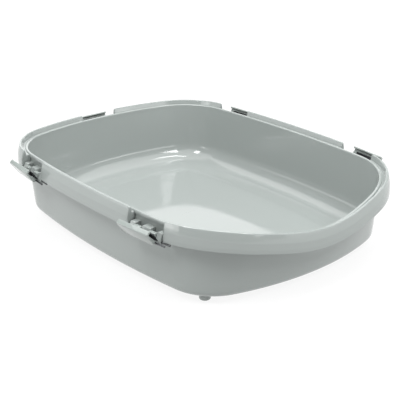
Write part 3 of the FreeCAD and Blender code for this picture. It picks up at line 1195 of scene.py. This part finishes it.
    def segments(self) -> list[bpy.types.Object]:
        """Model the five lengths of rim between the notches.

        Returns:
            The lengths, from the right-hand side round to the front.
        """
        half = self.clip.half_notch
        mouth = self.mouth
        front_low = mouth.right_travel(self.front_notch - half)
        front_high = mouth.right_travel(self.front_notch + half)
        back_low = mouth.right_travel(self.back_notch - half)
        back_high = mouth.right_travel(self.back_notch + half)
        spans = {
            "rim_right": (front_high, back_low),
            "rim_back_right": (back_high, mouth.back_travel(half)),
            "rim_back_left": (mouth.back_travel(-half), 5.0 - back_high),
            "rim_left": (5.0 - back_low, 5.0 - front_high),
            "rim_front": (5.0 - front_low, 8.0 + front_low),
        }
        return [self.rim_segment(name, start, end) for name, (start, end) in spans.items()]

    def feet(self) -> list[bpy.types.Object]:
        """Model the four peg feet where the record's foot mounts are.

        Returns:
            The feet.
        """
        pegs = []
        for mount in frame["record"]["mounts"]:
            if not mount["name"].startswith("foot_"):
                continue
            height = self.foot_height + self.floor / 2
            place = Vector(mount["pos_m"]) + UP * (height / 2 * MM)
            Bench.clear()
            bpy.ops.mesh.primitive_cylinder_add(vertices=48, radius=self.foot_radius * MM, depth=height * MM,
                                                location=place)
            peg = bpy.context.object
            Bench.settle(peg)
            Bench.soften(peg, self.foot_rounding, 6, 60.0)
            pegs.append(peg)
        return pegs

    def build(self, seats: Sequence[ClipSeat], plastic: bpy.types.Material) -> bpy.types.Object:
        """Model the whole moulding and dress it.

        Args:
            seats: where the clips are.
            plastic: its material.

        Returns:
            The tray.
        """
        back = next(seat for seat in seats if seat.name == "clip_back")
        end_point = self.mouth.station(self.mouth.back_travel(self.clip.half_notch))[0]
        self.middle = Vector((0.0, back.middle.y - end_point.y, 0.0))
        parts = [self.shell()] + self.segments()
        knuckles = [self.clip.tray_knuckle(start, end) for start, end in self.clip.knuckle_spans()]
        for seat in seats:
            parts += [seat.place(knuckle, f"{seat.name}_knuckle") for knuckle in knuckles]
        for knuckle in knuckles:
            bpy.data.objects.remove(knuckle)
        parts += self.feet()
        for part in parts:
            Bench.shade(part, 40.0)
        whole = Bench.join("tray_moulding", parts)
        Bench.paint(whole, plastic)
        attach(whole, "tub")
        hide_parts("tray")
        log.info("%s: %d faces", whole.name, len(whole.data.polygons))
        return whole


# ---------------------------------------------------------------- studio


@dataclass(frozen=True)
class Softbox:
    """One soft light, hung round the tray and facing it.

    Bearings run clockwise from the back of the tray, and brightness is against white paper's 1.
    """

    name: str
    bearing: float
    elevation: float
    distance: float
    width: float
    height: float
    brightness: float

    def build(self) -> None:
        """Hang the light."""
        turn, lift = math.radians(self.bearing), math.radians(self.elevation)
        away = Vector((math.sin(turn) * math.cos(lift), math.cos(turn) * math.cos(lift), math.sin(lift)))
        light = bpy.data.lights.new(self.name, "AREA")
        light.shape = "RECTANGLE"
        light.size = self.width
        light.size_y = self.height
        light.energy = self.brightness * math.pi * self.width * self.height
        lamp = bpy.data.objects.new(self.name, light)
        bpy.context.scene.collection.objects.link(lamp)
        lamp.location = away * self.distance + UP * 0.06
        lamp.rotation_mode = "QUATERNION"
        lamp.rotation_quaternion = (-away).to_track_quat("-Z", "Y")
        lamp.visible_camera = False


@dataclass
class Studio:
    """Pale floor, soft lights and the camera."""

    target: tuple[float, float, float] = (0.0487, 0.0446, 0.010)
    azimuth: float = -39.5
    elevation: float = 22.3
    distance: float = 1.521
    lens: float = 82.93
    world_strength: float = 0.06
    softboxes: tuple[Softbox, ...] = (
        Softbox("left_softbox", -62.0, 10.5, 1.9, 2.0, 0.7, 2.0),
        Softbox("right_softbox", 128.0, 10.5, 1.9, 2.0, 0.7, 1.2),
        Softbox("overhead_softbox", 0.0, 90.0, 2.2, 4.2, 4.2, 2.6),
        Softbox("overhead_strip", 125.0, 74.0, 1.7, 0.14, 0.7, 16.0),
        Softbox("back_softbox", 40.0, 15.0, 2.6, 4.4, 1.4, 1.8),
        Softbox("left_key", -97.0, 52.0, 2.0, 0.45, 0.65, 17.0),
        Softbox("right_key", 168.0, 47.0, 2.0, 0.4, 0.55, 17.0),
        Softbox("left_reflector", -89.0, 12.0, 1.5, 0.52, 0.5, 3.6),
        Softbox("front_reflector", 157.0, 12.0, 1.5, 1.15, 0.36, 3.6),
    )

    def build(self, paper: bpy.types.Material) -> None:
        """Lay the floor, hang the lights and set the camera up.

        Args:
            paper: the floor's material.
        """
        Bench.clear()
        bpy.ops.mesh.primitive_plane_add(size=40.0)
        ground = bpy.context.object
        ground.name = "studio_floor"
        Bench.paint(ground, paper)
        world = bpy.data.worlds.new("studio")
        world.use_nodes = True
        background = world.node_tree.nodes["Background"]
        background.inputs["Color"].default_value = (1.0, 1.0, 1.0, 1.0)
        background.inputs["Strength"].default_value = self.world_strength
        bpy.context.scene.world = world
        bpy.context.scene.view_settings.view_transform = "Standard"
        for softbox in self.softboxes:
            softbox.build()
        turn, lift = math.radians(self.azimuth), math.radians(self.elevation)
        back = Vector((math.sin(turn) * math.cos(lift), -math.cos(turn) * math.cos(lift), math.sin(lift)))
        data = bpy.data.cameras.new("camera")
        data.lens = self.lens
        data.sensor_width = 36.0
        data.clip_start = 0.05
        data.clip_end = 60.0
        camera = bpy.data.objects.new("camera", data)
        bpy.context.scene.collection.objects.link(camera)
        camera.location = Vector(self.target) + back * self.distance
        camera.rotation_mode = "QUATERNION"
        camera.rotation_quaternion = (-back).to_track_quat("-Z", "Y")
        bpy.context.scene.camera = camera


def clip_seats(clip: Clip) -> list[ClipSeat]:
    """Read the clips' places from the record's joints.

    Args:
        clip: the clips' sizes.

    Returns:
        A seat for each clip.
    """
    seats = []
    for joint in frame["joints"]:
        name, _, motion = joint["name"].rpartition("_")
        if motion != "swing":
            continue
        hand = Hand.CLOCKWISE if "right" in name else Hand.ANTICLOCKWISE
        seats.append(ClipSeat(name, hand, Vector(joint["pos_m"]), Vector(joint["axis"]).normalized(),
                              clip.hinge_out, clip.hinge_down))
    return seats


def main() -> None:
    """Build and dress the tray and its clips, then the studio."""
    logging.basicConfig(level=logging.INFO, format="%(message)s")
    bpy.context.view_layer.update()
    tray_plastic = MouldedPlastic("tray_plastic", (0.262, 0.286, 0.277), (0.270, 0.294, 0.285)).material()
    clip_plastic = MouldedPlastic("clip_plastic", (0.250, 0.277, 0.265), (0.258, 0.285, 0.273)).material()
    hook_steel = DarkSteel("hook_steel", (0.018, 0.020, 0.021), (0.036, 0.038, 0.040)).material()
    pin_steel = DarkSteel("pin_steel", (0.09, 0.095, 0.1), (0.14, 0.145, 0.15), 0.28, 0.95).material()
    clip = Clip()
    seats = clip_seats(clip)
    Tray(clip).build(seats, tray_plastic)
    clip.build(seats, clip_plastic, hook_steel, pin_steel)
    Studio().build(StudioPaper().material())


if __name__ == "__main__":
    main()
